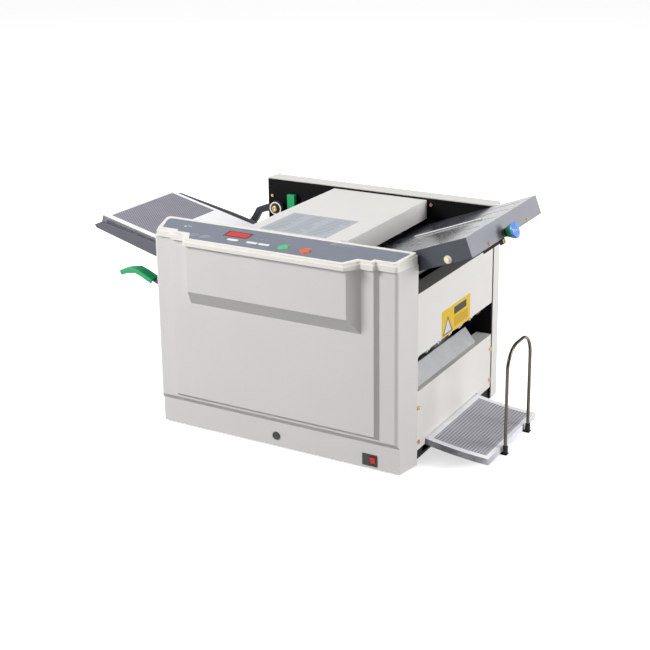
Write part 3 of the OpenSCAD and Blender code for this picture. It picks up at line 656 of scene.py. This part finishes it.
def turned(x, z):
    """Frame beside the fold plate's outer end with z along the knob's axis."""
    return (plate_frame @ Matrix.Translation((x, KNOB_Y, z))
            @ Matrix.Rotation(math.radians(90), 4, "Y"))


def ribbed(angle, radius, height):
    """Radius of the knob's collar, which is ribbed where it is thick enough to grip."""
    return radius * (1 + RIB_DEPTH * math.cos(KNOB_RIBS * angle)) if radius > RIBBED_FROM else radius


def knob():
    """Ribbed tapered collar on its threaded shaft, and a dished cap with moulded rings."""
    bm = bmesh.new()
    lathe(bm, [(8 * MM, 9 * MM), (8.4 * MM, 10.5 * MM), (10 * MM, 14 * MM), (11.8 * MM, 18 * MM),
               (12 * MM, 19.6 * MM)], turned(0, KNOB_Z), 144, 0, ribbed)
    lathe(bm, [(6.6 * MM, 2.1 * MM), (7 * MM, 2.6 * MM), (7 * MM, 9 * MM)], turned(0, KNOB_Z), 64, 2)
    thread = [(THREAD_R - THREAD_CUT * (k % 2), (k - THREAD_LENGTH) * MM)
              for k in range(THREAD_LENGTH + 1)]
    lathe(bm, thread, turned(0, KNOB_Z), 32, 1)
    add_piece("knob_collar", to_mesh("knob_collar", bm), ["knob_green", "steel", "black_plastic"],
              BODY_OF["adjust_knob"], 0.0, ["adjust_knob"])
    bm = bmesh.new()
    rings = [(13.2, 0), (13.5, 0.5), (13.5, 3.6), (13.1, 4.3), (12.3, 4.6), (11.6, 4.5),
             (11.2, 4.9), (10.4, 5.2), (9.6, 5.1), (9.2, 5.6), (8, 6.2), (6.6, 6.4),
             (6, 5.9), (4.6, 5.7), (4.1, 6.2), (2, 6.9), (0.6, 7)]
    lathe(bm, [(radius * MM, height * MM) for radius, height in rings], turned(20 * MM, KNOB_Z), 72)
    add_piece("knob_button", to_mesh("knob_button", bm), "blue", BODY_OF["knob_cap"], 0.0,
              ["knob_cap"])


def plate_details():
    """Rod along the upper fold plate, in white paint as a painted sheen for a steel rod, and a dark
    slot that lies just inside its front wall.
    """
    bm = bmesh.new()
    rod_y, rod_z = 14 * MM, 1.3 * MM
    start, end = (plate_frame @ Vector((x * MM, rod_y, rod_z)) for x in (-176, -46))
    bar(bm, start, end, 1.1 * MM)
    # painted sheen: the steel rod takes the white washer paint, so it shows bright without a highlight
    on_node("plate_rod_painted_sheen", bm, "washer", "upper_fold_plate")
    bm = bmesh.new()
    x, y, z = WASHER_SCREW_X, plate_low.y, WASHER_SCREW_Z
    block(bm, (x - 2 * MM, y - 1.25 * MM + 3 * MM, z - 6.4 * MM), (x + 2 * MM, y + 3 * MM, z - 3 * MM),
          plate_frame)
    on_node("washer_slot", bm, "plate_dark", "upper_fold_plate")


knob()
plate_details()


# ------------------------------------------------------------------ labels, pivots and a screw

RULES_A_COLUMN = 13


def ruled_film():
    """Faint ruled text lines of the hood's instruction film, in three columns."""
    low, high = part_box("hood_label")
    marks = []
    columns = ((0.06, 0.30), (0.36, 0.62), (0.68, 0.94))
    for left, right in columns:
        for k in range(RULES_A_COLUMN):
            y = (low.y + (high.y - low.y) * (0.08 + 0.84 * k / (RULES_A_COLUMN - 1))) / MM
            x0 = (low.x + (high.x - low.x) * left) / MM
            x1 = x0 + (high.x - low.x) / MM * (right - left) * random.uniform(0.55, 1.0)
            marks.append((x0, y, x1, y, 1.7))
    strokes("hood_film_rules", "ink_film", marks, Matrix.Translation((0, 0, high.z)), "hood_label",
            0.04)


def blank_warning():
    """Generic shapes on the yellow label: a dark bar, an amber patch and a bordered triangle."""
    low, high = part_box("safety_label")
    wide, tall = high.y - low.y, high.z - low.z
    face = high.x

    def panel(bm, points, depth, index):
        """Adds a flat shape, depth proud of the label; points are shares of its width and height."""
        front = [bm.verts.new((face + depth, low.y + wide * u, low.z + tall * v)) for u, v in points]
        back = [bm.verts.new((face, low.y + wide * u, low.z + tall * v)) for u, v in points]
        made = [bm.faces.new(front), bm.faces.new(back[::-1])]
        for i in range(len(points)):
            after = (i + 1) % len(points)
            made.append(bm.faces.new((front[i], back[i], back[after], front[after])))
        for side in made:
            side.material_index = index

    bm = bmesh.new()
    panel(bm, ((0.42, 0.60), (0.86, 0.60), (0.86, 0.88), (0.42, 0.88)), 0.05 * MM, 0)
    panel(bm, ((0.42, 0.12), (0.92, 0.12), (0.92, 0.50), (0.42, 0.50)), 0.03 * MM, 2)
    panel(bm, ((0.03, 0.06), (0.37, 0.06), (0.2, 0.72)), 0.05 * MM, 0)
    panel(bm, ((0.07, 0.10), (0.33, 0.10), (0.2, 0.62)), 0.09 * MM, 1)
    on_node("label_marks", bm, ["ink_dark", "ink_white", "ink_amber"], "safety_label")


def arm_pivots():
    """Pale washer, dark ring and brass cap on each feed arm's pivot."""
    pivot_x, pivot_z = -196 * MM, 317 * MM
    for name, y, inwards in (("pivot_rear", 126 * MM, -1), ("pivot_front", -131 * MM, 1)):
        bm = bmesh.new()
        place = (Matrix.Translation((pivot_x, y, pivot_z))
                 @ Matrix.Rotation(math.radians(90), 4, "X"))
        if inwards > 0:
            place = place @ Matrix.Rotation(math.pi, 4, "X")
        lathe(bm, [(12.6 * MM, 0), (12.6 * MM, 0.5 * MM), (10.2 * MM, 0.5 * MM), (10.2 * MM, 0)],
              place, 64, 0)
        lathe(bm, [(9.8 * MM, 0), (9.8 * MM, 0.9 * MM), (9.2 * MM, 1.4 * MM), (6.6 * MM, 1.4 * MM)],
              place, 64, 1)
        on_node(name, bm, ["washer", "black_plastic"], "tray_arms", 0.0001)
        bm = bmesh.new()
        lathe(bm, [(6 * MM, 0), (6 * MM, 4.2 * MM), (5.2 * MM, 5 * MM), (2.2 * MM, 5 * MM),
                   (2 * MM, 4.2 * MM), (0.4 * MM, 4.2 * MM)], place, 48)
        on_node(name + "_cap", bm, "brass", "cross_rods")


def flange_screw():
    """Small dark dome screw on the lower side panel's top flange."""
    flange_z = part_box("lower_side_panel")[1].z
    bm = bmesh.new()
    lathe(bm, [(2.6 * MM, 0), (2.6 * MM, 0.5 * MM), (2.1 * MM, 1.2 * MM), (1.1 * MM, 1.6 * MM),
               (0.3 * MM, 1.7 * MM)], Matrix.Translation((228 * MM, -6 * MM, flange_z)), 32)
    on_node("flange_screw", bm, "black_plastic", "lower_side_panel")


ruled_film()
blank_warning()
arm_pivots()
flange_screw()


# ------------------------------------------------------------------ paper

FEED_SLOPE = math.radians(13.4)
FEED_STACK_H, FEED_SHEETS = 0.015, 62
FOLDED_STACK_H, FOLDED_SHEETS = 0.011, 15
VERTEX_X, VERTEX_Z = 0.3795, 0.0255            # of the parabola that the folded stack's top follows
FOLDED_BEND = 1 / 1.513                        # rise over the vertex / distance squared, in metres
PRINT_LIFT = 0.00003                           # a printed panel's height over its sheet
feed_low, feed_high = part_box("feed_stack")
feed_lean = FEED_STACK_H * math.sin(FEED_SLOPE)
feed_frame = sloped(feed_low.x + feed_lean, feed_high.z, -math.degrees(FEED_SLOPE))
feed_run = (feed_high.x - feed_low.x - feed_lean) / math.cos(FEED_SLOPE)


def feed_stack():
    """Loaded sheets, each a thin slab a hair out of line with the next."""
    bm = bmesh.new()
    thick = FEED_STACK_H / FEED_SHEETS
    for k in range(FEED_SHEETS):
        top = -k * thick
        jog = random.uniform(0, 0.0005)
        side = random.uniform(0, 0.0004)
        block(bm, (jog, feed_low.y + side, top - thick * 0.9),
              (feed_run - jog, feed_high.y - side, top), feed_frame, 1 if k else 0)
    add_piece("feed_sheets", to_mesh("feed_sheets", bm), ["paper", "paper_edges"], "feed_table",
              replaces=["feed_stack"])
    bm = bmesh.new()
    block(bm, (0.010, feed_low.y + 0.014, 0), (0.111, feed_high.y - 0.009, PRINT_LIFT), feed_frame)
    add_piece("feed_print", to_mesh("feed_print", bm), "print_feed", "feed_table")


def folded_top(x):
    """Height of the folded stack's curved top at x."""
    return VERTEX_Z + FOLDED_BEND * (x - VERTEX_X) ** 2


def folded_outline(low_x, high_x, top, jog, thick):
    """Side view of one folded sheet: its curved top, the round fold at high_x, and its underside."""
    steps, fold_steps = 24, 6
    along = [low_x + (high_x - low_x) * i / steps for i in range(steps)]
    edge = high_x - jog
    middle = folded_top(edge) + top - thick / 2
    fold = [(edge - thick * 0.5 + thick * 0.5 * math.cos(a), middle + thick * 0.46 * math.sin(a))
            for a in (math.pi / 2 - math.pi * i / fold_steps for i in range(fold_steps + 1))]
    return ([(x, folded_top(x) + top) for x in along] + fold
            + [(x, folded_top(x) + top - thick * 0.92) for x in reversed(along)])


def folded_stack():
    """Folded sheets: the CAD stack's curve cut into layers, each with a rounded fold."""
    low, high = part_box("output_stack")
    bm = bmesh.new()
    thick = FOLDED_STACK_H / FOLDED_SHEETS
    for k in range(FOLDED_SHEETS):
        jog = random.uniform(0, 0.0012)
        side = random.uniform(0, 0.0008)
        outline = folded_outline(low.x, high.x, -k * thick, jog, thick)
        front = [bm.verts.new((x, low.y + side, z)) for x, z in outline]
        back = [bm.verts.new((x, high.y - side, z)) for x, z in outline]
        faces = [bm.faces.new(front), bm.faces.new(back[::-1])]
        for i in range(len(outline)):
            after = (i + 1) % len(outline)
            faces.append(bm.faces.new((front[i], front[after], back[after], back[i])))
        for face in faces:
            face.material_index = 1 if k else 0
    add_piece("folded_sheets", to_mesh("folded_sheets", bm), ["paper", "paper_edges"], "machine",
              replaces=["output_stack"])

    print_x0, print_x1, margin, steps = 0.2495, high.x - 0.009, 0.011, 20
    bm = bmesh.new()
    rows = []
    for i in range(steps + 1):
        x = print_x0 + (print_x1 - print_x0) * i / steps
        rows.append([bm.verts.new((x, y, folded_top(x) + PRINT_LIFT))
                     for y in (low.y + margin, high.y - margin)])
    for one, two in zip(rows, rows[1:]):
        bm.faces.new((one[0], two[0], two[1], one[1]))
    add_piece("folded_print", to_mesh("folded_print", bm), "print_folded", "machine")


feed_stack()
folded_stack()


# ------------------------------------------------------------------ studio

FLOOR_GLOW = 0.62
# Height of the view direction (-1 down, 1 up) and the world's grey there.
SKY = ((-1, 0.1), (-0.12, 0.1), (-0.04, 1.0), (0.1, 1.0), (0.2, 0.32), (1, 0.32))
# Name, position, width and power in watts.
LAMPS = (("key_light", (-2.2, -2.5, 2.2), 1.3, 132), ("side_light", (3.0, 0.9, 1.2), 1.2, 72),
         ("top_light", (-0.2, 0.9, 3.0), 1.6, 22))
LAMPS_AIM = Vector((0, 0, 0.2))


def studio():
    """Glowing near-white floor, a world with a bright horizon band, and three soft lamps."""
    bm = bmesh.new()
    bmesh.ops.create_grid(bm, x_segments=2, y_segments=2, size=40)
    floor_mesh = to_mesh("floor", bm)
    floor = bpy.data.objects.new("floor", floor_mesh)
    look = Look("studio_floor", (0.93, 0.93, 0.93), 0.7, specular=0.1)
    look.mottle(0.8, 0.004)
    look.shader.inputs["Emission Color"].default_value = (1, 1, 1, 1)
    look.shader.inputs["Emission Strength"].default_value = FLOOR_GLOW
    floor_mesh.materials.append(look.done())
    bpy.context.scene.collection.objects.link(floor)
    floor.visible_diffuse = False

    world = bpy.data.worlds.new("studio")
    world.use_nodes = True
    tree = world.node_tree
    direction = tree.nodes.new("ShaderNodeTexCoord").outputs["Generated"]
    split = tree.nodes.new("ShaderNodeSeparateXYZ")
    tree.links.new(direction, split.inputs[0])
    ramp = tree.nodes.new("ShaderNodeValToRGB")
    stops = ramp.color_ramp.elements
    lift = tree.nodes.new("ShaderNodeMapRange")
    lift.inputs["From Min"].default_value = -1
    tree.links.new(split.outputs["Z"], lift.inputs["Value"])
    tree.links.new(lift.outputs["Result"], ramp.inputs[0])
    while len(stops) < len(SKY):
        stops.new(1.0)
    for stop, (height, grey) in zip(stops, SKY):
        stop.position = (height + 1) / 2
        stop.color = (grey, grey, grey, 1)
    tree.links.new(ramp.outputs[0], tree.nodes["Background"].inputs["Color"])
    bpy.context.scene.world = world
    bpy.context.scene.view_settings.view_transform = "Standard"

    for name, spot, size, power in LAMPS:
        lamp = bpy.data.lights.new(name, "AREA")
        lamp.energy = power
        lamp.size = size
        holder = bpy.data.objects.new(name, lamp)
        holder.location = spot
        holder.rotation_euler = (LAMPS_AIM - Vector(spot)).to_track_quat("-Z", "Y").to_euler()
        bpy.context.scene.collection.objects.link(holder)


def camera(azimuth, elevation, roll, where, lens, shift_y):
    """Camera at a place, turned azimuth from the front and tipped down by elevation, in degrees."""
    a, e = math.radians(azimuth), math.radians(elevation)
    ahead = Vector((-math.sin(a) * math.cos(e), math.cos(a) * math.cos(e), -math.sin(e)))
    right = Vector((math.cos(a), math.sin(a), 0))
    upwards = right.cross(ahead)
    c, s = math.cos(math.radians(roll)), math.sin(math.radians(roll))
    right, upwards = right * c + upwards * s, upwards * c - right * s
    data = bpy.data.cameras.new("camera")
    data.lens = lens
    data.sensor_width = 36
    data.shift_y = shift_y
    data.clip_start = 0.05
    data.clip_end = 50
    holder = bpy.data.objects.new("camera", data)
    holder.matrix_world = Matrix((
        (right.x, upwards.x, -ahead.x, where[0]),
        (right.y, upwards.y, -ahead.y, where[1]),
        (right.z, upwards.z, -ahead.z, where[2]),
        (0, 0, 0, 1)))
    bpy.context.scene.collection.objects.link(holder)
    bpy.context.scene.camera = holder


studio()
camera(azimuth=29.86, elevation=15.87, roll=-0.68, where=(1.0893, -1.9250, 0.9606), lens=72.97,
       shift_y=-0.146)
